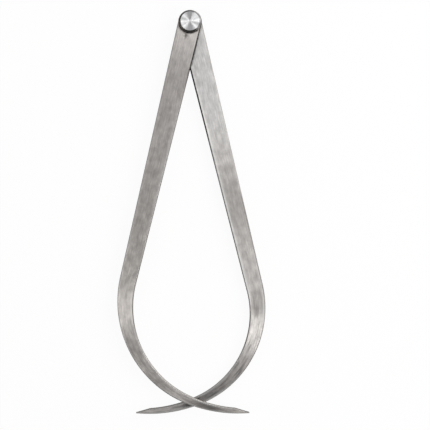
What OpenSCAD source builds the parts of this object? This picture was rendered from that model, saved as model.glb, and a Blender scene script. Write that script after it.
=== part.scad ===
// Firm joint outside caliper, 300 mm overall.
// Two flat steel legs turn face to face on one large stud. A disc spring and a round nut squeeze the
// stack of washers and legs, so the legs stay at whatever opening they are set to.
// Lying flat: the pivot is the Z axis, the legs hang towards -Y and the nut's rear face is z = 0.

/* [Legs] */
// Diameter of the round eye that each leg turns on
eye_d = 17.6; // [15:0.2:22]
// Thickness of each leg
leg_t = 3.2; // [2:0.1:5]
// Bevel along both edges of each leg, on both faces
leg_bevel = 0.6; // [0.2:0.1:0.9]
// Angle of each leg to the centre line, as set at rest
half_angle = 13.6; // [8:0.1:24]
// How far the shank's edges start inside the eye's rim
eye_shoulder = 0.15; // [0.1:0.05:0.5]
// Width of a leg where its straight shank meets the bow
bow_w = 12.7; // [10:0.1:15]
// Radius of the sweep that runs out to the tip, on its centre line
sweep_r = 100; // [80:1:140]
// Width that the sweep tapers to at the tip
tip_w = 3.4; // [2.6:0.1:5]
// Angle that the bow turns through
bow_angle = 79.7; // [70:0.1:90]
// Length of the bevel ground on the inner edge to form the measuring point
point_l = 10.5; // [6:0.5:16]
// Width of the blunt measuring point
point_w = 0.5; // [0.3:0.1:1.5]

/* [Front leg] */
// Straight length from the pivot to the bow
front_shank_l = 197; // [160:0.1:220]
// Radius of the bow, on its centre line
front_bow_r = 77; // [60:0.1:90]
// Angle that the sweep turns through
front_sweep_angle = 27; // [20:0.1:34]

/* [Rear leg] */
// How much further from the pivot its bow starts than the front leg's
rear_shank_extra = 6.3; // [0:0.1:12]
// Angle that the sweep turns through
rear_sweep_angle = 27.9; // [20:0.1:34]

/* [Stud] */
// Diameter of the stud's turned head
head_d = 16.4; // [15:0.1:21]
// Height of the head
head_h = 3; // [2:0.1:5]
// Width of the bevel round the head's face
head_bevel_w = 1.3; // [0.5:0.1:2]
// Depth of the bevel round the head's face
head_bevel_h = 0.9; // [0.3:0.1:1.5]
// Diameter of the shank that the front leg turns on
shank_d = 10; // [9.4:0.1:11]
// Distance across the two flats that key the stud to the rear leg
key_w = 8.4; // [8.1:0.1:9]
// Gap left at both ends of the keyed length, so that the nut squeezes the stack and not the stud
key_gap = 0.2; // [0.1:0.05:0.3]
// Diameter of the threaded end in the nut
thread_d = 8; // [6:0.1:8]
// Bevel round the end of the thread
thread_bevel = 0.5; // [0.2:0.1:1]

/* [Washers] */
// Outer diameter of the thin washer under the head
head_washer_d = 15.2; // [13:0.1:17]
// Thickness of the washer under the head
head_washer_t = 0.5; // [0.3:0.1:1]
// Outer diameter of the friction washer between the legs
centre_washer_d = 16.6; // [13:0.1:17.4]
// Thickness of the friction washer, which is the gap between the legs
centre_washer_t = 0.5; // [0.3:0.1:1]
// Outer diameter of the keyed washer behind the rear leg
rear_washer_d = 16.6; // [13:0.1:17.4]
// Thickness of the keyed washer
rear_washer_t = 0.8; // [0.5:0.1:1.5]
// Outer diameter of the disc spring
spring_d = 15; // [13:0.1:16]
// Thickness of the disc spring's plate
spring_t = 0.6; // [0.4:0.1:0.8]
// Height that the disc spring is squeezed to
spring_h = 0.9; // [0.9:0.05:1.2]

/* [Nut] */
// Diameter of the round tension nut
nut_d = 16.4; // [16:0.1:18]
// Thickness of the nut
nut_t = 3.4; // [2.4:0.1:5]
// Bevel round the nut's rear face
nut_bevel = 0.6; // [0.3:0.1:1]
// Diameter of the two holes for a pin spanner
spanner_hole_d = 2.4; // [1.6:0.1:2.8]
// Distance between the centres of the two spanner holes
spanner_pcd = 12; // [11:0.1:12.6]
// Depth of the spanner holes
spanner_hole_l = 2; // [1:0.1:2.2]

/* [Fits] */
// Radial clearance of the running fit between the shank and what turns on it
running_fit = 0.05; // [0.02:0.01:0.09]
// Clearance on each side of the keyed and threaded fits
close_fit = 0.03; // [0.01:0.01:0.05]

/* [Hidden] */
$fn = 96;
steel = [0.70, 0.69, 0.67];
bright_steel = [0.85, 0.85, 0.86];
dark_steel = [0.42, 0.42, 0.43];
bronze = [0.72, 0.56, 0.32];
// Levels of the stack, from the nut's rear face up
spring_z = nut_t;
rear_washer_z = spring_z + spring_h;
rear_leg_z = rear_washer_z + rear_washer_t;
centre_washer_z = rear_leg_z + leg_t;
front_leg_z = centre_washer_z + centre_washer_t;
head_washer_z = front_leg_z + leg_t;
head_z = head_washer_z + head_washer_t;
// How far a cutting shape runs past the face that it cuts
past = 1;
// Steps that the bow, the sweep and the ground point are lofted in
bow_steps = 40;
sweep_steps = 12;
point_steps = 4;
// The rear leg's bow is as tight as it takes for both measuring points to reach equally far
rear_shank_l = front_shank_l + rear_shank_extra;
rear_bow_r = bow_r_for(rear_shank_l, norm(sweep_centre(front_shank_l, front_bow_r)));

// The leg is a loft of a bevelled rectangle from the pivot to the tip. Each station of it is a pair of
// points, one on the outer edge and one on the inner edge. Here the pivot is at the origin, the shank
// runs along -Y and the bow turns towards +X.

// Unit vector from the centre line to the outer edge, where the leg has turned by an angle
function outward(turn) = -[cos(turn), sin(turn)];

function arc_length(r, angle) = r * angle * PI / 180;

// Centre of the sweep's arc, which carries on from the end of the bow without a corner
function sweep_centre(shank_l, bow_r) =
    [bow_r, -shank_l] - (sweep_r - bow_r) * outward(bow_angle);

// Radius of the bow that puts the sweep's centre at a distance from the pivot. The centre moves in
// a straight line as the radius grows, so this is where that line meets a circle.
function bow_r_for(shank_l, centre_d) =
    let (
        start = sweep_centre(shank_l, 0),
        step = sweep_centre(shank_l, 1) - start,
        a = step * step,
        b = start * step,
        c = start * start - centre_d ^ 2
    )
    (sqrt(b ^ 2 - a * c) - b) / a;

// Station at a point of the centre line, with a share of the way from the bow's start to the tip
function station(p, turn, share) =
    let (half = (bow_w + (tip_w - bow_w) * share) / 2)
    [p + half * outward(turn), p - half * outward(turn)];

function bow_station(shank_l, bow_r, sweep_angle, turn) =
    station([bow_r, -shank_l] + bow_r * outward(turn), turn,
            arc_length(bow_r, turn)
            / (arc_length(bow_r, bow_angle) + arc_length(sweep_r, sweep_angle)));

function sweep_station(shank_l, bow_r, sweep_angle, angle) =
    station(sweep_centre(shank_l, bow_r) + sweep_r * outward(bow_angle + angle), bow_angle + angle,
            1 - arc_length(sweep_r, sweep_angle - angle)
            / (arc_length(bow_r, bow_angle) + arc_length(sweep_r, sweep_angle)));

// Stations over the ground point, whose inner edge is cut straight from full width to the blunt tip
function point_stations(shank_l, bow_r, sweep_angle) =
    let (
        point_angle = point_l / sweep_r * 180 / PI,
        cut_start = sweep_station(shank_l, bow_r, sweep_angle, sweep_angle - point_angle)[1],
        tip = sweep_station(shank_l, bow_r, sweep_angle, sweep_angle)[0],
        cut_end = tip - point_w * outward(bow_angle + sweep_angle)
    )
    [for (i = [1:point_steps])
        let (share = i / point_steps)
        [sweep_station(shank_l, bow_r, sweep_angle, sweep_angle - point_angle * (1 - share))[0],
         cut_start + (cut_end - cut_start) * share]];

function leg_stations(shank_l, bow_r, sweep_angle) =
    let (
        shank_half = eye_d / 2 - eye_shoulder,
        point_angle = point_l / sweep_r * 180 / PI
    )
    concat(
        [[[-shank_half, 0], [shank_half, 0]]],
        [for (i = [0:bow_steps])
            bow_station(shank_l, bow_r, sweep_angle, bow_angle * i / bow_steps)],
        [for (i = [1:sweep_steps])
            sweep_station(shank_l, bow_r, sweep_angle,
                          (sweep_angle - point_angle) * i / sweep_steps)],
        point_stations(shank_l, bow_r, sweep_angle));

// Bevelled rectangle across the leg at one station, as eight points
function section(outer, inner) =
    let (
        w = norm(outer - inner),
        across = (outer - inner) / w,
        bevel = min(leg_bevel, w / 3),
        at = function (p, z) [p.x, p.y, z]
    )
    [at(outer, bevel), at(outer, leg_t - bevel),
     at(outer - bevel * across, leg_t), at(inner + bevel * across, leg_t),
     at(inner, leg_t - bevel), at(inner, bevel),
     at(inner + bevel * across, 0), at(outer - bevel * across, 0)];

module loft(stations) {
    rings = [for (pair = stations) section(pair[0], pair[1])];
    corners = len(rings[0]);
    last = len(rings) - 1;
    polyhedron(
        points = [for (ring = rings) each ring],
        faces = concat(
            [[for (k = [corners - 1:-1:0]) k]],
            [[for (k = [0:corners - 1]) last * corners + k]],
            [for (i = [0:last - 1], k = [0:corners - 1])
                let (a = i * corners + k, b = i * corners + (k + 1) % corners)
                each [[a, b, a + corners], [b, b + corners, a + corners]]]));
}

// Round end of the leg, bevelled like its edges
module eye() {
    r = eye_d / 2;
    rotate_extrude()
        polygon([[0, 0], [r - leg_bevel, 0], [r, leg_bevel], [r, leg_t - leg_bevel],
                 [r - leg_bevel, leg_t], [0, leg_t]]);
}

module leg(shank_l, bow_r, sweep_angle) {
    eye();
    loft(leg_stations(shank_l, bow_r, sweep_angle));
}

// Round bar with two flats: the keyed length of the stud, and the hole that it goes through
module keyed_bar(d, across, h) {
    intersection() {
        cylinder(d = d, h = h);
        translate([-across / 2, -d, 0]) cube([across, 2 * d, h]);
    }
}

// What the keyed length of the stud passes through, at the rear leg's own angle
module key_hole(h) {
    rotate(half_angle)
        translate([0, 0, -past])
            keyed_bar(shank_d + 2 * close_fit, key_w + 2 * close_fit, h + 2 * past);
}

module washer(d, bore, t) {
    difference() {
        cylinder(d = d, h = t);
        translate([0, 0, -past]) cylinder(d = bore, h = t + 2 * past);
    }
}

module front_leg() {
    color(steel)
        translate([0, 0, front_leg_z])
            difference() {
                rotate(-half_angle)
                    leg(front_shank_l, front_bow_r, front_sweep_angle);
                translate([0, 0, -past])
                    cylinder(d = shank_d + 2 * running_fit, h = leg_t + 2 * past);
            }
}

module rear_leg() {
    color(steel)
        translate([0, 0, rear_leg_z])
            difference() {
                rotate(half_angle)
                    mirror([1, 0, 0])
                        leg(rear_shank_l, rear_bow_r, rear_sweep_angle);
                key_hole(leg_t);
            }
}

// Turned head, round shank, flats in the rear leg and keyed washer, then the threaded end
module joint_stud() {
    shank_z = centre_washer_z + key_gap;
    key_z = rear_washer_z + key_gap;
    color(bright_steel) {
        translate([0, 0, head_z])
            rotate_extrude()
                polygon([[0, 0], [head_d / 2, 0], [head_d / 2, head_h - head_bevel_h],
                         [head_d / 2 - head_bevel_w, head_h], [0, head_h]]);
        translate([0, 0, shank_z]) cylinder(d = shank_d, h = head_z - shank_z);
        translate([0, 0, key_z])
            rotate(half_angle) keyed_bar(shank_d, key_w, shank_z - key_z);
        rotate_extrude()
            polygon([[0, 0], [thread_d / 2 - thread_bevel, 0], [thread_d / 2, thread_bevel],
                     [thread_d / 2, key_z], [0, key_z]]);
    }
}

module head_washer() {
    color(bronze)
        translate([0, 0, head_washer_z])
            washer(head_washer_d, shank_d + 2 * running_fit, head_washer_t);
}

module centre_washer() {
    color(bronze)
        translate([0, 0, centre_washer_z])
            washer(centre_washer_d, shank_d + 2 * running_fit, centre_washer_t);
}

module rear_washer() {
    color(steel)
        translate([0, 0, rear_washer_z])
            difference() {
                cylinder(d = rear_washer_d, h = rear_washer_t);
                key_hole(rear_washer_t);
            }
}

// Coned plate: its inner rim bears on the nut and its outer rim on the keyed washer
module disc_spring() {
    inner_r = thread_d / 2 + running_fit;
    outer_r = spring_d / 2;
    color(dark_steel)
        translate([0, 0, spring_z])
            rotate_extrude()
                polygon([[inner_r, 0], [outer_r, spring_h - spring_t], [outer_r, spring_h],
                         [inner_r, spring_t]]);
}

module tension_nut() {
    color(bright_steel)
        difference() {
            rotate_extrude()
                polygon([[thread_d / 2 + close_fit, 0], [nut_d / 2 - nut_bevel, 0],
                         [nut_d / 2, nut_bevel], [nut_d / 2, nut_t],
                         [thread_d / 2 + close_fit, nut_t]]);
            for (side = [-1, 1])
                translate([side * spanner_pcd / 2, 0, -past])
                    cylinder(d = spanner_hole_d, h = spanner_hole_l + past);
        }
}

front_leg();
rear_leg();
joint_stud();
head_washer();
centre_washer();
rear_washer();
disc_spring();
tension_nut();
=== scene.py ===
# %% [markdown]
# # A firm joint outside caliper in satin steel
#
# A firm joint caliper is two flat bowed steel legs that turn on one large stud. Washers, a disc
# spring and a round nut squeeze the legs together, so they stay at whatever opening they are set to.
# The solids already exist, so this lesson loads them, takes their places from them, and makes
# every piece again with softened edges, the marks of its making and a metal finish of its own.

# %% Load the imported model
import math
import bmesh
import bpy
from mathutils import Matrix, Vector


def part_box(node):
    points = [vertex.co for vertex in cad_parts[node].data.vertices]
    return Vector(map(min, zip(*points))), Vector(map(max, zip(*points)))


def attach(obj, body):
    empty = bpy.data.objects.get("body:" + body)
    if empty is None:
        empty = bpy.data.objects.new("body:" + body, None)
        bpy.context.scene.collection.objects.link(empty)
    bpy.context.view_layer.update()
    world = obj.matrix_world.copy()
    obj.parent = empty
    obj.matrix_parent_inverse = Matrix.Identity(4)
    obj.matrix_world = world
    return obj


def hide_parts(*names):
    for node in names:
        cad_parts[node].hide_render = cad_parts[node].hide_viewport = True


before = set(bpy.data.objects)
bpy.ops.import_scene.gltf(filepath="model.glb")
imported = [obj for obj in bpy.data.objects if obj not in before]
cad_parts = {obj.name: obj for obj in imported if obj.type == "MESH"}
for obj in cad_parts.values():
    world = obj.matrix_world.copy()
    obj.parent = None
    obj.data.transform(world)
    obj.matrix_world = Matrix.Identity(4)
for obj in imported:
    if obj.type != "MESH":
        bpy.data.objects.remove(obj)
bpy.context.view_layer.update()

# %% [markdown]
# ## Units
#
# A toolmaker thinks in millimetres and Blender's unit is the metre, so each size below is written in
# millimetres and goes through one factor.

# %% Millimetres to metres
MM = 0.001


def level(node, top=False):
    """Height of a solid's bottom or top face, in millimetres"""
    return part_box(node)[1 if top else 0].z / MM


print("Front leg lies from", round(level("front_leg"), 2), "to", round(level("front_leg", True), 2))

# %% [markdown]
# ## Camera
#
# The caliper lies flat and is photographed from straight above its middle with a longish lens, but
# it isn't in the middle of the picture. That is what the lens shift is for: it moves the frame and
# leaves the camera where it is, so the legs keep their true shape. Perspective needs one plane on
# which sizes are true, and here that plane lies between the two legs.

# %% Camera above the middle of the legs
VIEW_PLANE = 8.55  # height of the plane between the legs
VIEW_ABOVE = 800  # from that plane to the lens
VIEW_X, VIEW_Y = -0.32, -141
VIEW_TURN = -0.13  # degrees about the vertical
FRAME_WIDTH = 319.9  # what the picture covers on that plane, from side to side
PICTURE = 430  # pixels from side to side
FRAME_RIGHT, FRAME_DOWN = 25, 3  # pixels that the frame is shifted by
SENSOR = 36
scene = bpy.context.scene
camera = bpy.data.objects.new("camera", bpy.data.cameras.new("camera"))
scene.collection.objects.link(camera)
camera.location = Vector((VIEW_X, VIEW_Y, VIEW_PLANE + VIEW_ABOVE)) * MM
camera.rotation_euler = (0, 0, math.radians(VIEW_TURN))
camera.data.sensor_width = SENSOR
camera.data.lens = SENSOR * VIEW_ABOVE / FRAME_WIDTH
camera.data.shift_x = FRAME_RIGHT / PICTURE
camera.data.shift_y = -FRAME_DOWN / PICTURE
camera.data.clip_start = 10 * MM
scene.camera = camera
print("Lens:", round(camera.data.lens, 1), "mm")

# %% [markdown]
# ## Colours and nodes
#
# Colours are written as the sRGB hex codes a colour picker shows, and Cycles works in linear
# light, so one function turns one into the other. One more adds a shader node with its settings
# and its links, which keeps each material readable as a list of steps.
#
# An input goes by its name or its number. A map range takes its value, the range it comes from and
# the range it goes to as 0 to 4. A colour mix takes its share and its two colours as 0, 6 and 7,
# and gives its colour as output 2.

# %% Helpers for colour and nodes


def colour(code):
    """Linear colour from an sRGB hex code"""
    parts = [int(code[i:i + 2], 16) / 255 for i in (1, 3, 5)]
    return [c / 12.92 if c <= 0.04045 else ((c + 0.055) / 1.055) ** 2.4 for c in parts] + [1]


def add(tree, kind, inputs=None, **settings):
    """Adds a node. An input is a node, whose first output is linked, or (node, output), or a value."""
    node = tree.nodes.new("ShaderNode" + kind)
    for name, value in settings.items():
        setattr(node, name, value)
    for name, value in (inputs or {}).items():
        if isinstance(value, bpy.types.Node):
            value = (value, 0)
        if isinstance(value, tuple):
            tree.links.new(value[0].outputs[value[1]], node.inputs[name])
        else:
            node.inputs[name].default_value = value
    return node


def new_material(name):
    material = bpy.data.materials.new(name)
    material.use_nodes = True
    material.node_tree.nodes.clear()
    return material, material.node_tree


def set_stops(ramp, stops):
    """Gives a colour ramp node its stops, each a place from 0 to 1 and a linear colour"""
    elements = ramp.color_ramp.elements
    while len(elements) < len(stops):
        elements.new(1.0)
    for element, (place, tone) in zip(elements, stops):
        element.position = place
        element.color = tone


print("Mid grey is", round(colour("#808080")[0], 3), "in linear light")

# %% [markdown]
# ## The room
#
# Polished metal shows the room more than it shows itself. The room here is a white floor, a white
# band along the horizon, darker walls above it, whose reflection draws the dark lines round the
# stud's head, and a lighter ceiling. The world's colours go by the height of a direction, from 0 at
# the horizon to 1 straight up.

# %% World: white horizon, grey walls and ceiling
scene.view_settings.view_transform = "Standard"
scene.world = bpy.data.worlds.new("studio")
scene.world.use_nodes = True
sky = scene.world.node_tree
sky.nodes.clear()
direction = add(sky, "TexCoord")
height = add(sky, "SeparateXYZ", {0: (direction, "Generated")})
band = add(sky, "ValToRGB", {0: (height, 2)})
BAND = ((0.0, "#FFFFFF"), (0.16, "#FFFFFF"), (0.3, "#88888A"), (0.55, "#7C7C7E"), (1.0, "#A9A9AA"))
set_stops(band, [(place, colour(code)) for place, code in BAND])
back = add(sky, "Background", {"Color": band, "Strength": 1.0})
add(sky, "OutputWorld", {"Surface": back})
print("The white band ends", round(math.degrees(math.asin(BAND[1][0])), 1), "degrees up")

# %% [markdown]
# ### Lamps
#
# A brushed leg throws light out in a fan across its grain, and it is bright only where that fan
# meets a lamp. So the lamps' places decide which stretches of the legs are light, and they were
# found by trying. Five tall soft boxes stand round the caliper, and a wide window near the ground
# fills in from the right. The window is large and dim, because a small one would burn out the bows
# when they are seen from low down.

# %% Soft boxes and window
SOFT_BOXES = (  # name, place, width and height, watts
    ("soft_box_left", (-800, -330, 800), (200, 900), 2.3),
    ("soft_box_right", (800, 300, 800), (200, 900), 4.6),
    ("soft_box_low", (800, -460, 800), (260, 900), 4.3),
    ("soft_box_top_left", (-420, 700, 850), (320, 900), 1.2),
    ("soft_box_top_right", (420, 700, 850), (260, 900), 2.2),
    ("window", (950, 560, 330), (1400, 600), 1.7),
)
AIM = (0, -140, 10)
for name, place, size, power in SOFT_BOXES:
    lamp = bpy.data.lights.new(name, "AREA")
    lamp.shape = "RECTANGLE"
    lamp.size, lamp.size_y = size[0] * MM, size[1] * MM
    lamp.energy = power
    box = bpy.data.objects.new(name, lamp)
    scene.collection.objects.link(box)
    box.location = Vector(place) * MM
    box.rotation_euler = (Vector(AIM) * MM - box.location).to_track_quat("-Z", "Y").to_euler()
    box.visible_camera = False
print("Lamps:", len(SOFT_BOXES), "with", round(sum(row[3] for row in SOFT_BOXES), 1), "watts in all")

# %% [markdown]
# ## Floor
#
# The tool lies on white paper, which has to stay white in the picture and still take the legs' soft
# shadow. So most of the paper's white is its own glow for the rays of the camera and of the metal's
# reflections, and a small share is ordinary diffuse paper, which the shadow darkens.

# %% White paper
GLOW_SHARE = 0.93
FLOOR_HALF = 8000
FLOOR_BELOW = 0.2  # under the joint, whose rear face and the paper can't share a plane
paper, tree = new_material("paper_white_matt")
path = add(tree, "LightPath")
seen = add(tree, "Math", {0: (path, "Is Camera Ray"), 1: (path, "Is Glossy Ray")}, operation="MAXIMUM")
seen = add(tree, "Math", {0: seen, 1: (path, "Is Transmission Ray")}, operation="MAXIMUM")
matt = add(tree, "BsdfDiffuse", {"Color": colour("#F4F4F4")})
glow = add(tree, "Emission", {"Color": colour("#FFFFFF"), "Strength": 1.0})
share = add(tree, "Math", {0: seen, 1: GLOW_SHARE}, operation="MULTIPLY")
mixed = add(tree, "MixShader", {0: share, 1: matt, 2: glow})
add(tree, "OutputMaterial", {"Surface": mixed})
floor_mesh = bpy.data.meshes.new("floor")
corners = [Vector((x * FLOOR_HALF, y * FLOOR_HALF, -FLOOR_BELOW)) * MM
           for x, y in ((-1, -1), (1, -1), (1, 1), (-1, 1))]
floor_mesh.from_pydata(corners, [], [(0, 1, 2, 3)])
floor_mesh.materials.append(paper)
floor = bpy.data.objects.new("floor", floor_mesh)
scene.collection.objects.link(floor)
print("Floor:", 2 * FLOOR_HALF * MM, "m square")

# %% [markdown]
# ## Leg steel
#
# The legs are cold rolled steel strip, rubbed lengthwise on an abrasive belt. The fine scratches lie
# along each leg, also round its bow, so light spreads across the leg, and each stretch of it is bright
# or dark by the way that it points. The shader's anisotropy gives this, with its tangent from the UV
# map, whose U runs along the leg.
#
# The scratches are noise that is drawn out along U. Real ones are well under a tenth of a millimetre
# wide and a pixel of the picture is 0.74 mm, so they are drawn 0.8 mm wide, or they wouldn't show.
# Mottle and patina are the faint clouds that handling leaves.

# %% Grain along a leg
GRAIN = {  # length and width of a mark in millimetres, detail of the noise, and its shift
    "scratches": (9, 0.8, 3.0, 0.0),
    "mottle": (6, 4, 4.0, 5.0),
    "patina": (60, 40, 1.0, 9.0),
    "streaks": (16, 1.5, 3.0, 13.0),
}
SEED_ACROSS = 2.7  # how much further the seed shifts the noise across the leg than along it


def leg_grain(tree, uv, seed):
    """Noise nodes for each kind of mark. The seed gives each leg marks of its own."""
    grain = {}
    for mark, (length, width, detail, shift) in GRAIN.items():
        scaled = add(tree, "Mapping", {0: uv, "Location": [seed + shift, seed * SEED_ACROSS + shift, 0],
                                       "Scale": [1 / (length * MM), 1 / (width * MM), 1]})
        grain[mark] = add(tree, "TexNoise", {"Vector": scaled, "Scale": 1.0, "Detail": detail,
                                             "Roughness": 0.6}, noise_dimensions="2D")
    return grain


print("Marks along a leg:", ", ".join(GRAIN))

# %% [markdown]
# ### Wear, painted light and shade, and streaks
#
# Hands, work and storage leave an old tool bright in one place and dull in the next, and so does
# the light that it reflects. A colour ramp on U holds the brightness at a few distances from the pivot,
# painting wear, highlights and shade. Round the bow the steel also has darker streaks, faint on the
# shank.

# %% Brightness along a leg
RUN = 360  # the ramps' length, a little more than a leg's
NOISE_LOW, NOISE_HIGH = 0.3, 0.7  # most of a noise node's values lie between these
TONES = {"scratches": (0.88, 1.12), "mottle": (0.88, 1.1), "patina": (0.95, 1.04)}
STREAK_LOW, STREAK_HIGH = 0.45, 0.68
STREAKS_BEGIN, STREAKS_FULL, STREAKS_ON_SHANK = 190, 250, 0.15


def leg_tone(tree, run, grain, wear_and_shading, streak_depth):
    """Brightness over a leg, wear with painted highlights and shade. Run is the share of RUN along it,
    and the list of stops holds (distance, brightness).
    """
    tone = None
    for mark, (dark, light) in TONES.items():
        layer = add(tree, "MapRange", {0: grain[mark], 1: NOISE_LOW, 2: NOISE_HIGH, 3: dark, 4: light})
        tone = layer if tone is None else add(tree, "Math", {0: tone, 1: layer}, operation="MULTIPLY")
    worn_and_shaded = add(tree, "ValToRGB", {0: run})
    worn_and_shaded.color_ramp.interpolation = "EASE"
    set_stops(worn_and_shaded, [(distance / RUN, [bright, bright, bright, 1]) for distance, bright in wear_and_shading])
    streaks = add(tree, "MapRange", {0: grain["streaks"], 1: STREAK_LOW, 2: STREAK_HIGH,
                                     3: 0.0, 4: streak_depth})
    on_bow = add(tree, "MapRange", {0: run, 1: STREAKS_BEGIN / RUN, 2: STREAKS_FULL / RUN,
                                    3: STREAKS_ON_SHANK, 4: 1.0})
    streaks = add(tree, "Math", {0: streaks, 1: on_bow}, operation="MULTIPLY")
    clear = add(tree, "Math", {0: 1.0, 1: streaks}, operation="SUBTRACT")
    for layer in (worn_and_shaded, clear):
        tone = add(tree, "Math", {0: tone, 1: layer}, operation="MULTIPLY")
    return tone


print("Ramps along a leg cover", RUN, "mm")

# %% [markdown]
# ### Grease, stains and painted shadows
#
# Black grease creeps out of the joint round the foot of the head, and on the shank's side the head's
# shadow is painted there with it. Dark spots are stains, a line of grime and painted shadow along the
# front leg's edge, and painted shade and shadows where the legs part and cross. Each spot is an
# ellipse that is laid on the UV map and made ragged by noise of the size of a clump of dirt.

# %% Grease and painted shadow by the joint, and stains and painted shadows
CLUMP = 1.6
# the grease ring also paints the head's shadow on the leg, on the shank's side
GREASE_SHADOW_FULL, GREASE_SHADOW_END = 9.0, 10.2  # distances from the pivot
GREASE_SHADOW_RAGGED = 1.4
SPOT_FULL, SPOT_END = -0.3, 0.4  # in radii of the spot, once the noise is taken off
WAY_FROM, WAY_FULL = 0.2, 0.6  # cosines between which a direction comes to count


def leg_dirt(tree, uv, shank_way, stains_and_shadows):
    """Dirt and painted shadow on a leg's upper face: grease with the head's painted shadow on the
    shank's side of the head, and dark spots, which are (distance along, distance across, length,
    width, turn in degrees, strength)"""
    place = add(tree, "TexCoord")
    clumps = add(tree, "TexNoise", {"Vector": (place, "Object"), "Scale": 1 / (CLUMP * MM),
                                    "Detail": 3.0})
    flat = add(tree, "VectorMath", {0: (place, "Object"), 1: [1, 1, 0]}, operation="MULTIPLY")
    radius = add(tree, "VectorMath", {0: flat}, operation="LENGTH")
    reach = add(tree, "Math", {0: clumps, 1: GREASE_SHADOW_RAGGED * MM, 2: (radius, "Value")},
                operation="MULTIPLY_ADD")
    near = add(tree, "MapRange", {0: reach, 1: GREASE_SHADOW_FULL * MM, 2: GREASE_SHADOW_END * MM, 3: 1.0, 4: 0.0})
    way = add(tree, "VectorMath", {0: flat}, operation="NORMALIZE")
    way = add(tree, "VectorMath", {0: way, 1: shank_way}, operation="DOT_PRODUCT")
    on_shank = add(tree, "MapRange", {0: (way, "Value"), 1: WAY_FROM, 2: WAY_FULL, 3: 0.0, 4: 1.0})
    dirt = add(tree, "Math", {0: near, 1: on_shank}, operation="MULTIPLY")
    facing = add(tree, "SeparateXYZ", {0: (place, "Normal")})
    upper = add(tree, "MapRange", {0: (facing, 2), 1: WAY_FROM, 2: WAY_FULL, 3: 0.0, 4: 1.0})
    for along, across, length, width, turn, strength in stains_and_shadows:
        spot = add(tree, "Mapping", {0: uv, "Location": [along * MM, across * MM, 0],
                                     "Rotation": [0, 0, math.radians(turn)],
                                     "Scale": [length * MM, width * MM, 1]}, vector_type="TEXTURE")
        spot = add(tree, "VectorMath", {0: spot}, operation="LENGTH")
        spot = add(tree, "Math", {0: clumps, 1: -1.0, 2: (spot, "Value")}, operation="MULTIPLY_ADD")
        spot = add(tree, "MapRange", {0: spot, 1: SPOT_FULL, 2: SPOT_END, 3: strength, 4: 0.0})
        spot = add(tree, "Math", {0: upper, 1: spot}, operation="MULTIPLY")
        dirt = add(tree, "Math", {0: dirt, 1: spot}, operation="MAXIMUM")
    return dirt


print("Grease reaches", GREASE_SHADOW_END, "mm from the pivot, less its ragged edge")

# %% [markdown]
# ### The whole finish
#
# The narrow ground edges were not rubbed bright again, so they are darker and duller than the faces.
# Where an edge was handled its bevel is rubbed bright and painted as a highlight. Elsewhere the bevel
# is painted black, as dirt together with the shadow in the gaps between the legs, and the side is
# painted dark, as dull steel and shade. The mesh carries this as four marks on its points: edge,
# rubbed highlight, dark wall and dirt with shadow, which are shares from 0 to 1.

# %% Brushed leg steel
# rubbed paints highlights, wall paints the sides dark as dull steel and shade, and dirt paints dirt with
# the shadow in the gaps between the legs
EDGE_COLOURS = {"edge": "#A5A29E", "rubbed": "#F1EFEC", "wall": "#625E5B", "dirt": "#171513"}
TOP_END, REST_FROM = 60, 130  # between these the colour of the top by the joint gives way to the rest's
SATIN, SATIN_DULL = 0.32, 0.385  # roughness between which the mottle varies
DULL_MORE = 0.25  # what an edge, or dirt with painted shadow, adds to the roughness


def leg_steel(name, top_code, code, seed, shank_way, stains_and_shadows, wear_and_shading, streak_depth):
    """Brushed steel of one leg, with a hex colour for its top and one for the rest"""
    material, tree = new_material(name)
    uv = add(tree, "UVMap", uv_map="along_leg")
    run = add(tree, "SeparateXYZ", {0: uv})
    run = add(tree, "Math", {0: run, 1: RUN * MM}, operation="DIVIDE")
    grain = leg_grain(tree, uv, seed)
    tone = leg_tone(tree, run, grain, wear_and_shading, streak_depth)
    lower = add(tree, "MapRange", {0: run, 1: TOP_END / RUN, 2: REST_FROM / RUN, 3: 0.0, 4: 1.0})
    base = add(tree, "Mix", {0: lower, 6: colour(top_code), 7: colour(code)}, data_type="RGBA")
    skin = add(tree, "Mix", {0: 1.0, 6: (base, 2), 7: tone}, data_type="RGBA", blend_type="MULTIPLY")

    share = {mark: (add(tree, "Attribute", attribute_name=mark), "Fac") for mark in EDGE_COLOURS}
    grease_and_shadow = leg_dirt(tree, uv, shank_way, stains_and_shadows)
    share["dirt"] = (add(tree, "Math", {0: share["dirt"], 1: grease_and_shadow}, operation="MAXIMUM"), 0)
    # these colours paint the edges' highlights, and their shade together with the dirt
    for mark, finish in EDGE_COLOURS.items():
        skin = add(tree, "Mix", {0: share[mark], 6: (skin, 2), 7: colour(finish)}, data_type="RGBA")

    dull = add(tree, "Math", {0: share["edge"], 1: share["dirt"]}, operation="MAXIMUM")
    dull = add(tree, "Math", {0: dull, 1: DULL_MORE}, operation="MULTIPLY")
    rough = add(tree, "MapRange", {0: grain["mottle"], 1: NOISE_LOW, 2: NOISE_HIGH,
                                   3: SATIN, 4: SATIN_DULL})
    rough = add(tree, "Math", {0: rough, 1: dull}, operation="ADD")
    bump = add(tree, "Bump", {"Height": grain["scratches"], "Strength": 0.2, "Distance": 0.01 * MM})
    tangent = add(tree, "Tangent", direction_type="UV_MAP", uv_map="along_leg")
    metal = add(tree, "BsdfPrincipled", {
        "Base Color": (skin, 2), "Metallic": 1.0, "Roughness": rough,
        "Anisotropic": 0.75, "Anisotropic Rotation": 0.25, "Normal": bump, "Tangent": tangent})
    add(tree, "OutputMaterial", {"Surface": metal})
    return material


print("Marks of an edge:", ", ".join(EDGE_COLOURS))
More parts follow.
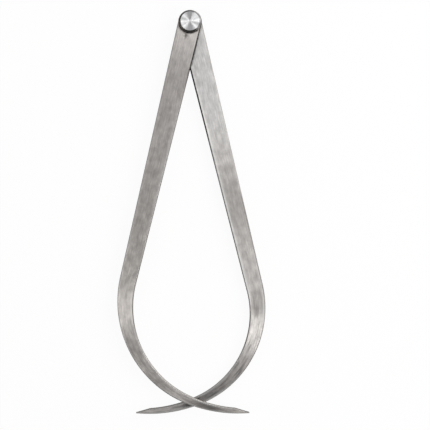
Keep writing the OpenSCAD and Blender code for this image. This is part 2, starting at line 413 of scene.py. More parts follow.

# %% [markdown]
# ### The two legs' finishes
#
# The legs have aged apart. Near the joint the rear leg is cooler in tone than the front one. The front
# leg has a dark patch under the head. On the rear leg, grime and painted shadow make a line where the
# front leg's edge passes over it, at the angle between the legs. Both legs have painted shade in the
# corner where they part, and the rear one also has painted shadows where the legs cross.

# %% Finish of the front and the rear leg
HALF_ANGLE = 13.6  # degrees from the centre line to each leg
SHANK_X, SHANK_Y = math.sin(math.radians(HALF_ANGLE)), -math.cos(math.radians(HALF_ANGLE))
front_steel = leg_steel(
    "leg_steel_brushed_front", "#F4EEE9", "#F4EEE8", seed=1.3, shank_way=[-SHANK_X, SHANK_Y, 0],
    # a dark patch under the head, and painted shade in the corner where the legs part
    stains_and_shadows=[(10.4, -0.6, 3.6, 2.4, 0, 0.75), (35.5, 8.3, 3.0, 1.2, 0, 1.0)],
    # the brightness stops paint wear together with highlights and shade, darkest where the legs cross
    wear_and_shading=[(0, 0.9), (48, 0.64), (76, 0.68), (150, 0.49), (200, 0.53), (222, 0.72), (246, 0.56),
          (262, 0.7), (276, 0.57), (298, 0.8), (310, 0.51), (322, 0.29), (334, 0.66), (345, 0.94)],
    streak_depth=0.28)
rear_steel = leg_steel(
    "leg_steel_brushed_rear", "#F0EEEC", "#F3EEE9", seed=7.9, shank_way=[SHANK_X, SHANK_Y, 0],
    # a line of grime and painted shadow beside the front leg's edge, painted shade in the corner where
    # the legs part, and two painted shadows where the legs cross near the tips
    stains_and_shadows=[(21, 1.2, 28, 0.9, 2 * HALF_ANGLE, 0.7), (35, 8.3, 4, 1.5, 0, 1.0),
            (306, 1.4, 4, 1.6, 0, 0.8), (314, 0.0, 5, 3.0, 0, 0.7)],
    # the brightness stops paint wear together with highlights and shade, darkest where the legs cross
    wear_and_shading=[(0, 0.76), (40, 0.69), (85, 0.72), (132, 0.54), (200, 0.84), (218, 0.5), (236, 0.92),
          (265, 0.72), (284, 0.57), (298, 0.42), (310, 0.52), (322, 0.74), (334, 0.76), (346, 1.0)],
    streak_depth=0.42)
print("Nodes in", front_steel.name + ":", len(front_steel.node_tree.nodes))

# %% [markdown]
# ## Turned steel, bronze and the other small metals
#
# The stud, the nut and the washers come off a lathe, so their marks run round the axis. The radial
# tangent of each piece's own axis takes the place of a UV map. A lathe's real feed marks are a tenth
# of a millimetre apart and wouldn't show, so the rings are drawn 0.5 to 0.7 mm apart.

# %% A metal from the lathe
RING_DEPTH = 0.01
PATCH, PATCH_HIGH = 3.0, 0.75  # size of a patch, and the value of its noise at which it is lightest
PATCH_DARK, PATCH_LIGHT = 0.08, 0.04  # how much a patch darkens or lightens
LESS_ROUGH, MORE_ROUGH = 0.03, 0.04
FAN_SCALE, FAN_LOW, FAN_HIGH = 3.5, 0.35, 0.65  # the rays' noise and the range of it that shows


def turned_metal(name, code, dull_code, roughness, anisotropy, pitch,
                 spread=0.06, mottle=1.0, rays=0.0):
    """Metal with rings round the Z axis, pitch millimetres apart. Points marked as edge take the dull
    colour. Spread, mottle and rays set how much rings, patches and rays from the axis show."""
    material, tree = new_material(name)
    place = add(tree, "TexCoord")
    split = add(tree, "SeparateXYZ", {0: (place, "Object")})
    flat = add(tree, "CombineXYZ", {0: split, 1: (split, 1)})
    radius = add(tree, "VectorMath", {0: flat}, operation="LENGTH")
    way = add(tree, "VectorMath", {0: flat}, operation="NORMALIZE")
    rings = add(tree, "TexNoise", {"W": (radius, "Value"), "Scale": 1 / (pitch * MM), "Detail": 2.0},
                noise_dimensions="1D")
    patches = add(tree, "TexNoise", {"Vector": (place, "Object"), "Scale": 1 / (PATCH * MM),
                                     "Detail": 3.0})
    fan = add(tree, "TexNoise", {"Vector": way, "Scale": FAN_SCALE, "Detail": 3.0})
    tone = add(tree, "MapRange", {0: rings, 1: NOISE_LOW, 2: NOISE_HIGH, 3: 1 - spread, 4: 1 + spread})
    stain = add(tree, "MapRange", {0: patches, 1: NOISE_LOW, 2: PATCH_HIGH,
                                   3: 1 - PATCH_DARK * mottle, 4: 1 + PATCH_LIGHT * mottle})
    fan = add(tree, "MapRange", {0: fan, 1: FAN_LOW, 2: FAN_HIGH, 3: 1 - rays, 4: 1 + rays})
    for layer in (stain, fan):
        tone = add(tree, "Math", {0: tone, 1: layer}, operation="MULTIPLY")
    skin = add(tree, "Mix", {0: 1.0, 6: colour(code), 7: tone}, data_type="RGBA", blend_type="MULTIPLY")
    edge = add(tree, "Attribute", attribute_name="edge")
    skin = add(tree, "Mix", {0: (edge, "Fac"), 6: (skin, 2), 7: colour(dull_code)}, data_type="RGBA")
    rough = add(tree, "MapRange", {0: patches, 1: NOISE_LOW, 2: NOISE_HIGH,
                                   3: roughness - LESS_ROUGH * mottle,
                                   4: roughness + MORE_ROUGH * mottle})
    bump = add(tree, "Bump", {"Height": rings, "Strength": 0.4, "Distance": RING_DEPTH * MM})
    tangent = add(tree, "Tangent", direction_type="RADIAL", axis="Z")
    metal = add(tree, "BsdfPrincipled", {
        "Base Color": (skin, 2), "Metallic": 1.0, "Roughness": rough,
        "Anisotropic": anisotropy, "Anisotropic Rotation": 0.25, "Normal": bump, "Tangent": tangent})
    add(tree, "OutputMaterial", {"Surface": metal})
    return material


print("Rings are", RING_DEPTH, "mm deep")

# %% [markdown]
# ### The five turned metals
#
# The stud's head is faced to a bright finish, so two fans of light lie across it and it has faint rays.
# Its bevel is dull and dark, and that outlines the head. The nut is the same steel, darker with age.
# The keyed washer is ground, which makes it grey and even. The disc spring is tempered in oil, which
# leaves it almost black. The washers that the leg turns on are bronze, and wear has made their rings
# stand out.

# %% Stud, nut, washers and spring
stud_steel = turned_metal("stud_steel_turned", "#EDEDED", "#4E4B48", 0.40, 0.92, 0.7,
                          mottle=0.25, rays=0.12)
nut_steel = turned_metal("nut_steel_turned", "#8F8D8B", "#6E6C6A", 0.32, 0.6, 0.7)
washer_steel = turned_metal("washer_steel_ground", "#A8A6A2", "#8A8886", 0.36, 0.5, 0.5)
spring_steel = turned_metal("spring_steel_oil_tempered", "#5C5A5B", "#4A4849", 0.38, 0.3, 0.6)
bronze = turned_metal("bronze_washer_worn", "#A8834C", "#7C6038", 0.38, 0.5, 0.5, spread=0.12)
print("Metals:", ", ".join(m.name for m in (stud_steel, nut_steel, washer_steel, spring_steel, bronze)))

# %% [markdown]
# ## Meshes
#
# No edge of a real tool is sharp. A shape here starts as a short list of corner points, and one
# function rounds each corner with a small arc and puts a support point on both sides of it, so
# smooth shading stays on the arc and flat faces stay flat.

# %% Rounded corners
ARC_SHARE = 0.4  # most of a side that one corner's arc may take


def rounded(points, radius, steps=3, support=0.08):
    """Open polyline with an arc at each inner corner, and a support point before and after it"""
    out = [Vector(points[0])]
    for before, corner, after in zip(points, points[1:], points[2:]):
        a, c, b = Vector(before), Vector(corner), Vector(after)
        u, v = (a - c).normalized(), (b - c).normalized()
        half = u.angle(v) / 2
        cut = min(radius / math.tan(half), ARC_SHARE * (a - c).length, ARC_SHARE * (b - c).length)
        r = cut * math.tan(half)
        centre = c + (u + v).normalized() * (r / math.sin(half))
        start, end = c + u * cut - centre, c + v * cut - centre
        out.append(c + u * (cut + support))
        for i in range(steps + 1):
            out.append(centre + start.slerp(end, i / steps).normalized() * r)
        out.append(c + v * (cut + support))
    return out + [Vector(points[-1])]


print("A rounded corner has", len(rounded([(0, 5), (0, 0), (5, 0)], 1)) - 2, "points")

# %% [markdown]
# Each piece then becomes a closed mesh with its finish. An edge where two faces meet at more than 40
# degrees stays sharp in the shading. The count of open edges is printed, and it has to be 0.

# %% A closed mesh piece
SHARP = 40  # degrees


def shade(made):
    """Faces outwards, smooth shading, and a sharp edge wherever faces meet at over SHARP degrees"""
    shape = bmesh.new()
    shape.from_mesh(made.data)
    bmesh.ops.recalc_face_normals(shape, faces=shape.faces)
    for face in shape.faces:
        face.smooth = True
    open_edges = 0
    for line in shape.edges:
        open_edges += not line.is_manifold
        line.smooth = line.is_manifold and line.calc_face_angle(0) < math.radians(SHARP)
    shape.to_mesh(made.data)
    shape.free()
    print(made.name, len(made.data.polygons), "faces,", open_edges, "open edges")


def piece(name, verts, faces, material, uvs=None, marks=None):
    """Closed mesh piece from points and UVs in millimetres, and a share per point for each mark"""
    mesh = bpy.data.meshes.new(name)
    mesh.from_pydata([Vector(p) * MM for p in verts], [], [list(f) for f in faces])
    if uvs:
        layer = mesh.uv_layers.new(name="along_leg")
        for polygon, places in zip(mesh.polygons, uvs):
            for loop, uv in zip(polygon.loop_indices, places):
                layer.data[loop].uv = (uv[0] * MM, uv[1] * MM)
    for label, values in (marks or {}).items():
        mesh.attributes.new(label, "FLOAT", "POINT").data.foreach_set("value", values)
    mesh.materials.append(material)
    made = bpy.data.objects.new(name, mesh)
    scene.collection.objects.link(made)
    shade(made)
    return made


# %% [markdown]
# ## The legs' plan
#
# Seen flat, a leg is a straight shank that narrows from the eye to the bow, a bow of almost 80
# degrees, and a flatter sweep out to the tip, where the inner edge is ground to a blunt point. It is
# drawn as pairs of points, one on each edge, with the pivot at the origin and the shank along -Y.

# %% Sizes of a leg
EYE_R = 8.78
SHANK_HALF = 8.65  # half the shank's width at the pivot
LEG_T = 3.2
BEVEL = 0.6
BOW_W, TIP_W = 12.7, 3.4
BOW_ANGLE = 79.7
SWEEP_R = 100
POINT_L, POINT_W = 10.5, 0.5
FRONT_SHANK, FRONT_BOW_R, FRONT_SWEEP = 197, 77, 27
REAR_SHANK, REAR_SWEEP = 203.3, 27.9
EYE_END = 13  # distance below the pivot at which the rows along the leg begin
SHANK_ROWS, CURVE_ROWS, POINT_ROWS = 46, 72, 10


def outward(turn):
    """Direction out of the bow, after a turn in degrees from the shank"""
    a = math.radians(turn)
    return Vector((-math.cos(a), -math.sin(a)))


def sweep_centre(shank, bow_r):
    """Centre of the sweep, which carries on from the bow without a corner"""
    return Vector((bow_r, -shank)) - (SWEEP_R - bow_r) * outward(BOW_ANGLE)


print("Front sweep's centre:", [round(c, 1) for c in sweep_centre(FRONT_SHANK, FRONT_BOW_R)])

# %% Pairs of points along a leg


def leg_plan(shank, bow_r, sweep_angle):
    """(outer point, inner point, middle, direction outwards, distance along) from the eye to the tip"""
    stations = []
    for i in range(SHANK_ROWS):
        y = EYE_END + (shank - EYE_END) * i / SHANK_ROWS
        half = SHANK_HALF + (BOW_W / 2 - SHANK_HALF) * y / shank
        stations.append((Vector((-half, -y)), Vector((half, -y)), Vector((0, -y)), outward(0), y))
    bow_l = bow_r * math.radians(BOW_ANGLE)
    total = bow_l + SWEEP_R * math.radians(sweep_angle)

    def at(d):
        """The pair of points at a distance from the shank's end"""
        if d <= bow_l:
            turn = math.degrees(d / bow_r)
            middle = Vector((bow_r, -shank)) + bow_r * outward(turn)
        else:
            turn = BOW_ANGLE + math.degrees((d - bow_l) / SWEEP_R)
            middle = sweep_centre(shank, bow_r) + SWEEP_R * outward(turn)
        half = (BOW_W + (TIP_W - BOW_W) * d / total) / 2
        out = outward(turn)
        return middle + half * out, middle - half * out, middle, out, shank + d

    curved = total - POINT_L
    stations += [at(curved * i / CURVE_ROWS) for i in range(CURVE_ROWS + 1)]
    # the point's inner edge is a straight cut, from the last full width to the blunt end
    cut_start = stations[-1][1]
    tip = at(total)
    cut_end = tip[0] - POINT_W * tip[3]
    for i in range(1, POINT_ROWS + 1):
        outer, _, middle, out, along = at(curved + POINT_L * i / POINT_ROWS)
        stations.append((outer, cut_start.lerp(cut_end, i / POINT_ROWS), middle, out, along))
    return stations


def bow_r_for(shank, distance):
    """Bow radius that puts the sweep's centre at a distance from the pivot"""
    start = sweep_centre(shank, 0)
    step = sweep_centre(shank, 1) - start
    a, b, c = step.dot(step), start.dot(step), start.dot(start) - distance ** 2
    return (math.sqrt(b * b - a * c) - b) / a


REAR_BOW_R = bow_r_for(REAR_SHANK, sweep_centre(FRONT_SHANK, FRONT_BOW_R).length)
print("Rear bow radius:", round(REAR_BOW_R, 2), "mm")

# %% [markdown]
# ## A leg as one closed mesh
#
# Subdividing a cut-out shape would give a net that runs anyhow, and brushed steel needs a net that runs
# along the leg. So the leg is woven by hand: rows of quads from edge to edge along it, rings of
# quads round the hole in the eye, and one strip of quads that follows the whole outline and carries
# the rounded bevels. This strip is the rim. It goes down the edge from the upper face to the lower.

# %% Points down the rim, and the net
EDGE_ROUND = 0.28
INSET = 2  # the section starts this far in on the face, and its two points there are left out again
RIM = rounded([(INSET, LEG_T), (BEVEL, LEG_T), (0, LEG_T - BEVEL), (0, BEVEL), (BEVEL, 0), (INSET, 0)],
              EDGE_ROUND)[2:-2]
RIM_V = 60  # V of the rim in the UV map, clear of the faces'
RIM_RUN = [0.0]
for a, b in zip(RIM, RIM[1:]):
    RIM_RUN.append(RIM_RUN[-1] + (b - a).length)


class Net:
    """Points, faces, UVs and marks of a leg while it is woven"""

    def __init__(self):
        self.verts, self.flat_uv, self.faces, self.uvs = [], [], [], []
        self.marks = {mark: [] for mark in EDGE_COLOURS}

    def vert(self, x, y, z, u, v, **marks):
        """Adds a point with its place on the UV map and returns its number"""
        self.verts.append((x, y, z))
        self.flat_uv.append((u, v))
        for mark, values in self.marks.items():
            values.append(float(marks.get(mark, 0.0)))
        return len(self.verts) - 1

    def face(self, *ids, uv=None):
        """Adds a face, with its points' own places on the UV map unless others are given"""
        self.faces.append(ids)
        self.uvs.append(uv or [self.flat_uv[i] for i in ids])


print("The rim has", len(RIM), "points and is", round(RIM_RUN[-1], 2), "mm down the edge")

# %% [markdown]
# ### The outline and its marks
#
# Each of an edge's marks is a short list of (distance from the pivot, strength), with straight lines
# between. Black is dirt and painted shadow on the bevel, and a share of it, the spread, lies on the
# face too. Bevel and light are rubbed places painted bright as highlights, on the bevel and on the
# face beside it. Wall is how dull the side is, with painted shade. Each list is given stretch by stretch.

# %% Outline of a leg
EYE_MEET = 1.73  # distance below the pivot at which the shank's side gives way to the eye's arc
EYE_ARC, EYE_SIDE = 60, 8  # quads round the eye's arc, and beside it on each side


def at_place(along, marks):
    """Strength of a mark at a distance along the leg"""
    if not marks or along <= marks[0][0]:
        return marks[0][1] if marks else 0.0
    for (a, weak), (b, strong) in zip(marks, marks[1:]):
        if along <= b:
            return weak + (strong - weak) * (along - a) / (b - a)
    return marks[-1][1]


def leg_outline(stations, shank):
    """The outline, up the outer edge from the tip, round the eye and down the inner edge. Each point is
    (place, direction inwards, width, middle, direction outwards, distance along)."""
    slope = (BOW_W / 2 - SHANK_HALF) / shank
    sides = [EYE_END + (EYE_MEET - EYE_END) * i / EYE_SIDE for i in range(1, EYE_SIDE)]

    def on_row(p, opposite, *rest):
        return p, (opposite - p).normalized(), (opposite - p).length, *rest

    def beside_eye(side, y):
        return Vector((side * (SHANK_HALF + slope * y), -y)), Vector((-side, 0)), 2 * EYE_R, None, None, y

    outline = [on_row(outer, inner, *rest) for outer, inner, *rest in reversed(stations)]
    outline += [beside_eye(-1, y) for y in sides]
    drop = math.degrees(math.asin(EYE_MEET / EYE_R))
    for i in range(EYE_ARC + 1):
        a = math.radians(180 + drop - (180 + 2 * drop) * i / EYE_ARC)
        ray = Vector((math.cos(a), math.sin(a)))
        outline.append((EYE_R * ray, -ray, 2 * EYE_R, None, None, -EYE_R * math.sin(a)))
    outline += [beside_eye(1, y) for y in reversed(sides)]
    outline += [on_row(inner, outer, *rest) for outer, inner, *rest in stations]
    return outline


front_plan = leg_plan(FRONT_SHANK, FRONT_BOW_R, FRONT_SWEEP)
print("The front leg's outline has", len(leg_outline(front_plan, FRONT_SHANK)), "points")

# %% [markdown]
# ### The rim
#
# Every point of the outline gets a column of points down the edge, over four arcs: one on each side
# of the upper bevel, and two at the lower. Where a mark lies is told by counting points from the upper
# face: dirt and painted shadow reach over the first two arcs, and the rubbed highlight over the first.

# %% Weave the rim
FACE_SIDE = 2  # points of the first arc that still count as the face's
RUBBED_HIGHLIGHT_END = 5  # the rubbed bright, painted highlight reaches points below this number
DIRT_SHADOW_END = 10  # and dirt with painted shadow reaches points below this one
WALL_FROM = 5  # counted from the nearer face
BEVEL_PARTS = 3  # a narrow tip's bevel takes one part in three of the width


def weave_rim(net, outline, inner_edge, outer_edge, spread):
    """Columns of points down the edge, one for each point of the outline, and quads between them"""
    rim, run = [], [0.0]
    for i, (p, inwards, width, middle, out, along) in enumerate(outline):
        if i:
            run.append(run[-1] + (p - outline[i - 1][0]).length)
        scale = min(BEVEL, width / BEVEL_PARTS) / BEVEL
        edge = inner_edge if i > len(outline) / 2 else outer_edge
        column = []
        for k, (inset, z) in enumerate(RIM):
            q = p + inwards * inset * scale
            z = LEG_T - (LEG_T - z) * scale if z > LEG_T / 2 else z * scale
            across = q.x if middle is None else -(q - middle).dot(out)
            deep = min(k, len(RIM) - 1 - k)
            # black is dirt with painted shadow, and bright is a rubbed place painted as a highlight
            black = at_place(along, edge["black"]) * (k < DIRT_SHADOW_END)
            bright = at_place(along, edge["bevel"] if k else edge["light"]) * (k < RUBBED_HIGHLIGHT_END)
            column.append(net.vert(
                q.x, q.y, z, along, across, edge=deep > 0, rubbed=bright,
                wall=at_place(along, edge["wall"]) * (deep >= WALL_FROM),
                dirt=black if k >= FACE_SIDE else black * spread))
        rim.append(column)
    for i in range(len(rim) - 1):
        for k in range(len(RIM) - 1):
            v0, v1 = RIM_V + RIM_RUN[k], RIM_V + RIM_RUN[k + 1]
            net.face(rim[i][k], rim[i][k + 1], rim[i + 1][k + 1], rim[i + 1][k],
                     uv=((run[i], v0), (run[i], v1), (run[i + 1], v1), (run[i + 1], v0)))
    return rim


print("Bevels are", BEVEL, "mm, and less where the leg is under", BEVEL * BEVEL_PARTS, "mm wide")

# %% [markdown]
# ### The faces
#
# Two columns of quads stay close to each edge: one holds the flat face flat up to the rim, and the
# other is where the black or bright line on the face ends.

# %% Weave a face
ACROSS = 14  # quads across a face
NEAR_COLUMNS = 2  # how many of them lie close to each edge
SUPPORT_W = 0.12
LINE_W, LINE_SHARE = 0.38, 0.15  # the line's width, and the most of the face that it takes
NARROWEST = 0.6  # least width of a face for which columns are laid out
NEAR_EDGE = {0: 1.0, 1: 1.0, 2: 0.2}  # strength of an edge's marks by column, counted from the edge


def columns(width):
    """Shares across a face at which its columns of points lie"""
    near = SUPPORT_W / width
    line = near + min(LINE_W / width, LINE_SHARE)
    wide = ACROSS - 2 * NEAR_COLUMNS
    middle = [line + (1 - 2 * line) * i / wide for i in range(1, wide)]
    return [0, near, line] + middle + [1 - line, 1 - near, 1]


def weave_face(net, stations, rim, side, z, inner_edge, outer_edge, spread):
    """Rows of quads from edge to edge, from the eye's end to the tip. Side is the rim's first or last
    point, 0 for the upper face and -1 for the lower, which has no marks."""
    rows = []
    last = ACROSS - 2  # a row's inner points are numbered from 0 to this
    for i, (_, _, middle, out, along) in enumerate(stations):
        left = rim[len(stations) - 1 - i][side]
        right = rim[len(rim) - len(stations) + i][side]
        a, b = Vector(net.verts[left]), Vector(net.verts[right])
        row = [left]
        for k, share in enumerate(columns(max((b - a).length, NARROWEST))[1:-1]):
            q = a.lerp(b, share)
            edge = inner_edge if k > ACROSS / 2 else outer_edge
            column = min(k, last - k)
            near = NEAR_EDGE.get(column, 0.0) if side == 0 else 0.0
            # by the upper edge, dirt with painted shadow and a painted highlight reach onto the face
            row.append(net.vert(
                q.x, q.y, z, along, -(q.xy - middle).dot(out),
                dirt=spread * at_place(along, edge["black"]) * near * (column == 0),
                rubbed=at_place(along, edge["light"]) * near))
        rows.append(row + [right])
    for upper, lower in zip(rows, rows[1:]):
        for k in range(len(upper) - 1):
            net.face(upper[k], upper[k + 1], lower[k + 1], lower[k])
    return rows


print("Shares across a face of", BOW_W, "mm:", [round(share, 3) for share in columns(BOW_W)])

# %% [markdown]
# ### The eye, and the leg as a whole
#
# Round the pivot the rows give way to rings, which close in from the outline to the hole. The last
# ring lies a little way down the hole and so bevels its lip. The wall of the hole and the blunt end of
# the tip then close the mesh.

# %% Weave the eye and the leg
EYE_RINGS = (0.03, 0.2, 0.4, 0.6, 0.8, 0.96)  # shares of the way from the outline to the hole
LIP = 0.15  # how far down the hole its lip reaches


def weave_eye(net, ring, z, bore):
    """Rings from the outline to the hole, whose radius in a direction is bore(angle), and its lip"""
    rings = [ring]
    for share, drop in [(share, 0.0) for share in EYE_RINGS] + [(1.0, LIP)]:
        inner_ring = []
        for i in ring:
            p = Vector(net.verts[i]).xy
            q = p.lerp(p.normalized() * bore(math.atan2(p.y, p.x)), share)
            inner_ring.append(net.vert(q.x, q.y, z - drop if z else z + drop, -q.y, q.x, edge=drop > 0))
        rings.append(inner_ring)
    for outer_ring, inner_ring in zip(rings, rings[1:]):
        for k in range(len(ring)):
            n = (k + 1) % len(ring)
            net.face(outer_ring[k], outer_ring[n], inner_ring[n], inner_ring[k])
    return rings[-1]


def leg(name, shank, bow_r, sweep_angle, bore, material, inner_edge, outer_edge, spread):
    """A whole leg in its own frame, from z = 0 up"""
    net = Net()
    stations = leg_plan(shank, bow_r, sweep_angle)
    rim = weave_rim(net, leg_outline(stations, shank), inner_edge, outer_edge, spread)
    round_eye = range(len(stations) - 1, len(rim) - len(stations) + 1)
    lips, ends = [], []
    for side, z in ((0, LEG_T), (-1, 0.0)):
        rows = weave_face(net, stations, rim, side, z, inner_edge, outer_edge, spread)
        ring = [rim[i][side] for i in round_eye] + rows[0][-2:0:-1]
        lips.append(weave_eye(net, ring, z, bore))
        ends.append(rows[-1][1:-1])
    top, bottom = lips
    for k in range(len(top)):
        n = (k + 1) % len(top)
        net.face(top[k], top[n], bottom[n], bottom[k])
    net.face(*rim[0], *ends[1], *rim[-1][::-1], *ends[0][::-1])
    return piece(name, net.verts, net.faces, material, net.uvs, net.marks)


print("Rings round the hole:", len(EYE_RINGS) + 1)

# %% [markdown]
# ### The two legs
#
# The front leg turns on the round part of the stud, and the rear leg has two flats in its hole, so it
# can't turn on the stud. Each leg has its own shank, bow and sweep.

# %% Marks of the front leg's edges
# black paints dirt and shadow, light and bevel paint highlights, and wall paints dull sides and shade
front_inner = {
    "black": [(0, 0.5), (6, 1), (36, 1), (48, 0), (172, 0), (187, 0.15), (205, 0.15), (222, 0.35),
              (232, 0.1), (240, 0)],
    "light": [(50, 0), (75, 0.35), (120, 0.3), (150, 0.2), (185, 0), (205, 0.1), (221, 0.1),
              (246, 0.35), (320, 0.45), (330, 0.3), (345, 0)],
    "bevel": [(50, 0), (75, 0.15), (120, 0.15), (160, 0.05), (175, 0), (230, 0), (250, 0.3),
              (300, 0.35), (325, 0.6), (345, 0.4)],
    "wall": [(221, 1), (246, 0.1), (330, 0.1), (355, 1)],
}
front_outer = {
    "black": [],
    "light": [(50, 0), (75, 0.15), (205, 0.15), (215, 0), (230, 0), (238, 0.3), (250, 0), (275, 0),
              (285, 0.3), (300, 0.3), (310, 0.2), (340, 0.2)],
    "bevel": [(0, 0.1), (30, 0.2), (75, 0.3), (210, 0.3), (222, 0), (238, 0.4), (256, 0.1), (290, 0),
              (320, 0.4)],
    "wall": [(0, 0.3)],
}
print("Front leg: black on the inner edge up to", front_inner["black"][-1][0], "mm")

# %% Marks of the rear leg's edges
# black paints dirt and shadow, light and bevel paint highlights, and wall paints dull sides and shade
rear_inner = {
    "black": [(0, 0.5), (34, 1), (70, 1), (83, 0.85), (95, 0.62), (107, 0.5), (119, 0.38), (168, 0.38),
              (181, 0.26), (193, 0.1), (210, 0.1), (222, 0.2), (229, 0.3), (245, 0.2), (262, 0)],
    "light": [(34, 0.2), (50, 0.5), (65, 1), (90, 1), (100, 0.6), (125, 0.6), (135, 1), (205, 1),
              (217, 0.3), (237, 0), (262, 0.3), (300, 0.5), (306, 0.2), (335, 0.2), (345, 0)],
    "bevel": [(245, 0), (260, 0.4), (300, 0.5), (306, 0.2), (345, 0.3)],
    "wall": [(240, 1), (260, 0.2), (300, 0.2), (310, 0.6), (345, 0.6)],
}
rear_outer = {
    "black": [(130, 0), (142, 0.25), (175, 0.25), (185, 0.15), (215, 0.15), (225, 0)],
    "light": [(40, 0), (55, 0.15), (125, 0.15), (135, 0), (172, 0), (181, 0.5), (222, 0.5), (230, 0),
              (270, 0), (285, 0.5), (322, 0.5), (345, 0.3)],
    "bevel": [(30, 0), (50, 0.35), (125, 0.35), (140, 0), (262, 0), (285, 0.5), (340, 0.5)],
    "wall": [(0, 0.3), (200, 0.3), (240, 0.8), (262, 0.8), (285, 0.2)],
}
print("Rear leg: black on the inner edge up to", rear_inner["black"][-1][0], "mm")

# %% Weave both legs
ROUND_BORE, KEYED_BORE, KEYED_FLAT = 5.05, 5.03, 4.23
NEVER_ZERO = 1e-6


def round_hole(radius):
    """A round hole's radius in every direction"""
    return lambda angle: radius


def keyed_hole(radius, half_flat):
    """Radius by direction of a round hole with two flats, which lie across the leg's own X"""
    return lambda angle: min(radius, half_flat / max(abs(math.cos(angle)), NEVER_ZERO))


front = leg("front_leg_brushed", FRONT_SHANK, FRONT_BOW_R, FRONT_SWEEP, round_hole(ROUND_BORE),
            front_steel, front_inner, front_outer, spread=0.2)
rear = leg("rear_leg_brushed", REAR_SHANK, REAR_BOW_R, REAR_SWEEP, keyed_hole(KEYED_BORE, KEYED_FLAT),
           rear_steel, rear_inner, rear_outer, spread=1.0)

# %% [markdown]
# The rear leg is the same way round as the front one turned over, so its net is mirrored. Both are
# then turned to the angle they are set at and lifted to their own level in the stack. The mesh
# itself is moved, and the object stays at the origin, on the pivot.

# %% Set the legs at their angle and level


def settle(made, angle, lift, mirror=False):
    """Turns a leg's mesh by an angle in degrees about the pivot and lifts it"""
    for v in made.data.vertices:
        p = Vector((-v.co.x if mirror else v.co.x, v.co.y))
        p.rotate(Matrix.Rotation(math.radians(angle), 2))
        v.co = (p.x, p.y, v.co.z + lift * MM)
    if mirror:
        made.data.flip_normals()


settle(front, -HALF_ANGLE, level("front_leg"))
settle(rear, HALF_ANGLE, level("rear_leg"), mirror=True)
print("The legs open to", 2 * HALF_ANGLE, "degrees")

# %% [markdown]
# ## Stud, washers, disc spring and nut
#
# Lathe work is a profile turned round an axis. The profile's corners are rounded as above. Two flats on
# the stud key it to the rear leg, and they are made by holding back the radius where a flat cuts
# the round bar.

# %% Turn a profile round the axis
SEGMENTS = 128
PROFILE_SUPPORT = 0.04


def turned(name, profile, material, flat=None, dull=None, segments=SEGMENTS):
    """List of (radius, height) turned round Z. flat(r, z) holds a point back to a flat at that distance
    from the axis, and dull(r, z, angle) is how far its finish is the dull one."""
    verts, faces, rows, edge = [], [], [], []
    for r, z in profile:
        count = 1 if r < NEVER_ZERO else segments
        for k in range(count):
            a = 2 * math.pi * k / segments
            reach = r
            if flat and flat(r, z):
                reach = min(r, flat(r, z) / max(abs(math.cos(a - math.radians(HALF_ANGLE))), NEVER_ZERO))
            verts.append((reach * math.cos(a), reach * math.sin(a), z))
            edge.append(dull(r, z, a) if dull else 0.0)
        rows.append([len(verts) - count + k % count for k in range(segments)])
    pairs = list(zip(rows, rows[1:]))
    if profile[0][0] > NEVER_ZERO:
        pairs.append((rows[-1], rows[0]))
    for a, b in pairs:
        for k in range(segments):
            n = (k + 1) % segments
            ids = list(dict.fromkeys((a[k], a[n], b[n], b[k])))
            if len(ids) > 2:
                faces.append(ids)
    return piece(name, verts, faces, material, marks={"edge": edge})


def profile_of(points, radius):
    """Rounded outline from a profile's corners, which start and end in the middle of a straight side"""
    return [tuple(p) for p in rounded(points, radius, steps=4, support=PROFILE_SUPPORT)[:-1]]


def ring_profile(node, inner, outer, radius):
    """Flat ring with rounded corners, from the bottom of a solid to its top"""
    bottom, top = level(node), level(node, True)
    middle = (inner + outer) / 2
    return profile_of([(middle, bottom), (outer, bottom), (outer, top), (inner, top), (inner, bottom),
                       (middle, bottom)], radius)


print("Turned pieces have", SEGMENTS, "segments")

# %% [markdown]
# ### Stud
#
# The head has a flat face with a bevel round it. Under it come the round shank, the flats and the
# thread, whose end still has the small cone that the lathe's centre held it by. The bevel and the
# side of the head are dull, and painted a little lighter on the right, where the light falls on them.

# %% Stud
HEAD_R, HEAD_H, HEAD_BEVEL_W, HEAD_BEVEL_H = 8.2, 3.0, 1.15, 0.9
SHANK_R, FLAT_HALF, THREAD_R = 5.0, 4.2, 4.0
HEAD_ROUND, END_ROUND = 0.15, 0.1
THREAD_BEVEL, CENTRE_R, CENTRE_DEEP = 0.5, 0.8, 1.4
KEY_LIFT = 0.2  # the flats begin and end this far above a washer's lower face
STEP = 0.01  # gap between the two rows of points at a step, and the reach of a test for a face
# the way in degrees towards which the dull bevel is painted lighter, where the light falls, and how much
LIT_WAY, LIT_SHARE = 25, 0.3
face_z = level("joint_stud", True)
head_z = face_z - HEAD_H
key_top = level("centre_washer") + KEY_LIFT
key_low = level("rear_washer") + KEY_LIFT


def head_dull_and_light(r, z, angle):
    """How dull the head is: full on bevel and side, less where painted lighter towards the light"""
    if r <= HEAD_R - HEAD_BEVEL_W - STEP or z <= head_z - STEP:
        return 0.0
    return 1 - LIT_SHARE * max(0, math.cos(angle - math.radians(LIT_WAY)))


head = rounded([(0, face_z), (HEAD_R - HEAD_BEVEL_W, face_z), (HEAD_R, face_z - HEAD_BEVEL_H),
                (HEAD_R, head_z), (SHANK_R, head_z), (SHANK_R, key_top + STEP)], HEAD_ROUND, steps=4)
bar = [(SHANK_R, key_top), (SHANK_R, key_low)]
end = rounded([(THREAD_R, key_low - STEP), (THREAD_R, THREAD_BEVEL), (THREAD_R - THREAD_BEVEL, 0),
               (CENTRE_R, 0), (0, CENTRE_DEEP)], END_ROUND, steps=4)
stud = turned("joint_stud_turned", [tuple(p) for p in head + bar + end], stud_steel,
              flat=lambda r, z: FLAT_HALF if key_low <= z <= key_top else None, dull=head_dull_and_light)
print("Head from", round(head_z, 2), "to", round(face_z, 2))

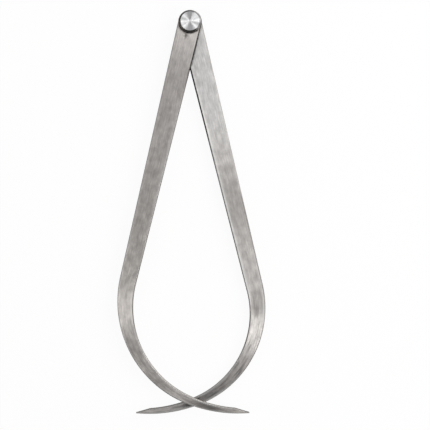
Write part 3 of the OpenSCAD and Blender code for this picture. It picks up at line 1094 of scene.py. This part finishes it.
# %% [markdown]
# ### Washers and disc spring
#
# The two bronze washers carry the turning leg. The keyed steel washer has a bore with two flats. The
# disc spring is a plate pressed to a cone, here drawn as squeezed by the nut.

# %% Washers
HEAD_WASHER_R, WASHER_R = 7.6, 8.3
BRONZE_ROUND, STEEL_ROUND = 0.12, 0.15
KEY_REACH = 0.3  # how far out from the bore the flats hold points back
head_washer = turned("head_washer_bronze", ring_profile(
    "head_washer", ROUND_BORE, HEAD_WASHER_R, BRONZE_ROUND), bronze)
centre_washer = turned("centre_washer_bronze", ring_profile(
    "centre_washer", ROUND_BORE, WASHER_R, BRONZE_ROUND), bronze)
rear_washer = turned("rear_washer_steel", ring_profile(
    "rear_washer", KEYED_BORE, WASHER_R, STEEL_ROUND), washer_steel,
    flat=lambda r, z: KEYED_FLAT + r - KEYED_BORE if r < KEYED_BORE + KEY_REACH else None)

# %% Disc spring
SPRING_IN, SPRING_OUT, SPRING_T, SPRING_ROUND = 4.05, 7.5, 0.6, 0.12
spring_low, spring_high = level("disc_spring"), level("disc_spring", True)
spring_mid = (SPRING_IN + SPRING_OUT) / 2
rise = spring_high - spring_low - SPRING_T
spring = turned("disc_spring_steel", profile_of(
    [(spring_mid, spring_low + rise / 2), (SPRING_OUT, spring_low + rise), (SPRING_OUT, spring_high),
     (SPRING_IN, spring_low + SPRING_T), (SPRING_IN, spring_low), (spring_mid, spring_low + rise / 2)],
    SPRING_ROUND), spring_steel)
print("The cone rises", round(rise, 2), "mm")

# %% [markdown]
# ### Tension nut
#
# A pin spanner turns the nut by two holes in its rear face. They are drilled: a shape like the
# drill, with a countersink at its mouth, is taken out with a Boolean, and the drill is thrown away.

# %% Nut and its two holes
NUT_R, NUT_T, NUT_BORE, NUT_BEVEL, NUT_ROUND = 8.2, 3.4, 4.03, 0.6, 0.15
HOLE_R, HOLE_L, HOLE_OUT, COUNTERSINK = 1.2, 2.0, 6.0, 0.15
DRILL_OUT, DRILL_SEGMENTS = 1, 48  # how far the drill stands out of the nut, and its segments
nut = turned("tension_nut_turned", profile_of(
    [(HOLE_OUT, 0), (NUT_R - NUT_BEVEL, 0), (NUT_R, NUT_BEVEL), (NUT_R, NUT_T), (NUT_BORE, NUT_T),
     (NUT_BORE, 0), (HOLE_OUT, 0)], NUT_ROUND), nut_steel)
drill_profile = [(0, -DRILL_OUT), (HOLE_R + COUNTERSINK + DRILL_OUT, -DRILL_OUT), (HOLE_R, COUNTERSINK),
                 (HOLE_R, HOLE_L), (0, HOLE_L)]
for side in (-1, 1):
    drill = turned("drill", drill_profile, nut_steel, segments=DRILL_SEGMENTS)
    drill.location.x = side * HOLE_OUT * MM
    cut = nut.modifiers.new("drill", "BOOLEAN")
    cut.object = drill
    cut.solver = "EXACT"
    bpy.context.view_layer.update()
    evaluated = nut.evaluated_get(bpy.context.evaluated_depsgraph_get())
    drilled = bpy.data.meshes.new_from_object(evaluated)
    nut.modifiers.clear()
    nut.data = drilled
    bpy.data.objects.remove(drill)
shade(nut)

# %% [markdown]
# ## Which body each piece rides on
#
# The front leg turns, and everything else stays with the rear leg, to which the stud is keyed. Each
# new piece also hides the solid that it stands for.

# %% Ride, and hide the solids
PIECES = (
    (front, "front_leg", "front_leg", "leg_steel"),
    (rear, "rear_leg", "rear_leg", "leg_steel"),
    (stud, "rear_leg", "joint_stud", "turned_steel"),
    (head_washer, "rear_leg", "head_washer", "bronze"),
    (centre_washer, "rear_leg", "centre_washer", "bronze"),
    (rear_washer, "rear_leg", "rear_washer", "washer_steel"),
    (spring, "rear_leg", "disc_spring", "spring_steel"),
    (nut, "rear_leg", "tension_nut", "nut_steel"),
)
for made, body, node, finish in PIECES:
    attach(made, body)
    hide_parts(node)
print("Pieces:", len(PIECES))
